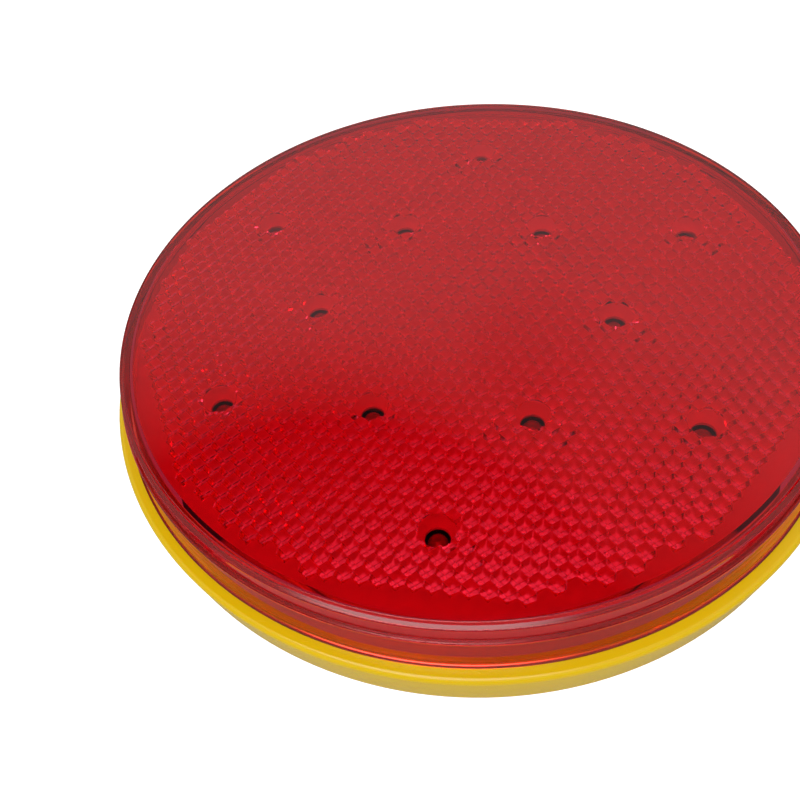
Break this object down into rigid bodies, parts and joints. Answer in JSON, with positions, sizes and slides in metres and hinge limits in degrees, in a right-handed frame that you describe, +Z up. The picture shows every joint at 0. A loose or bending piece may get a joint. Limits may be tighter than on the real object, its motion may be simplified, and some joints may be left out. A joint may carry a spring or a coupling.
{
  "type": "led road flare",
  "caption": "Round battery-powered LED road flare: a yellow base pan with a red prismatic lens over a star of LEDs, a push button, a hinged battery door and a fold-out wire bail.",
  "frame": {"origin": "middle of the face the rubber feet stand on", "axes": "+Z up through the lens, +Y towards one point of the LED star, which is also the crown end of the bail"},
  "size_m": [0.19, 0.19, 0.0305],
  "materials": {
    "yellow_plastic": "glossy moulded yellow",
    "red_lens_plastic": "polished transparent red",
    "led_epoxy": "clear red-tinted epoxy",
    "gasket_rubber": "soft matte",
    "foot_rubber": "soft matte",
    "button_rubber": "soft satin",
    "board_laminate": "green solder mask over glass laminate",
    "white_reflector": "matte white",
    "resistor_coating": "tan coating with colour bands",
    "black_plastic": "moulded black",
    "capacitor_can": "drawn can in a dark sleeve",
    "cell_sleeve": "printed steel can",
    "nickel_plate": "nickel-plated spring steel",
    "stainless_steel": "bright stainless",
    "red_insulation": "soft vinyl",
    "black_insulation": "soft vinyl"
  },
  "bodies": {
    "case": {"base_pan": "yellow_plastic", "lens": "red_lens_plastic", "lens_gasket": "gasket_rubber", "led_board": "board_laminate", "reflector_plate": "white_reflector", "led_01": "led_epoxy", "led_02": "led_epoxy", "led_03": "led_epoxy", "led_04": "led_epoxy", "led_05": "led_epoxy", "led_06": "led_epoxy", "led_07": "led_epoxy", "led_08": "led_epoxy", "led_09": "led_epoxy", "led_10": "led_epoxy", "led_11": "led_epoxy", "led_12": "led_epoxy", "resistor_1": "resistor_coating", "resistor_2": "resistor_coating", "resistor_3": "resistor_coating", "resistor_4": "resistor_coating", "resistor_5": "resistor_coating", "resistor_6": "resistor_coating", "flasher_chip": "black_plastic", "timing_capacitor": "capacitor_can", "drive_transistor": "black_plastic", "board_screw_1": "stainless_steel", "board_screw_2": "stainless_steel", "board_screw_3": "stainless_steel", "switch_body": "black_plastic", "battery_cell_1": "cell_sleeve", "battery_cell_2": "cell_sleeve", "battery_cell_3": "cell_sleeve", "contact_plus_end": "nickel_plate", "contact_link_left": "nickel_plate", "contact_link_right": "nickel_plate", "contact_minus_end": "nickel_plate", "contact_spring_1": "nickel_plate", "contact_spring_2": "nickel_plate", "contact_spring_3": "nickel_plate", "battery_lead_plus": "red_insulation", "battery_lead_minus": "black_insulation", "door_hinge_pin": "stainless_steel", "bail_clip_left": "yellow_plastic", "bail_clip_right": "yellow_plastic", "case_screw_1": "stainless_steel", "case_screw_2": "stainless_steel", "case_screw_3": "stainless_steel", "case_screw_4": "stainless_steel", "case_screw_5": "stainless_steel", "case_screw_6": "stainless_steel", "rubber_foot_1": "foot_rubber", "rubber_foot_2": "foot_rubber", "rubber_foot_3": "foot_rubber", "rubber_foot_4": "foot_rubber"},
    "battery_door": {"battery_door": "yellow_plastic", "door_gasket": "gasket_rubber", "door_screw": "stainless_steel"},
    "bail": {"hanging_bail": "stainless_steel"},
    "power_button": {"power_button": "button_rubber"}
  },
  "joints": [
    {"name": "battery_door_hinge", "type": "hinge", "parent": "case", "child": "battery_door", "pos_m": [0, -0.0294, 0.0036], "axis": [-1, 0, 0], "range_deg": [0, 100]},
    {"name": "bail_hinge", "type": "hinge", "parent": "case", "child": "bail", "pos_m": [0, -0.012, 0.0046], "axis": [-1, 0, 0], "range_deg": [0, 95]},
    {"name": "power_button_press", "type": "slide", "parent": "case", "child": "power_button", "axis": [0, 0, 1], "range_m": [0, 0.0014], "stiffness_N_per_m": 1500}
  ]
}
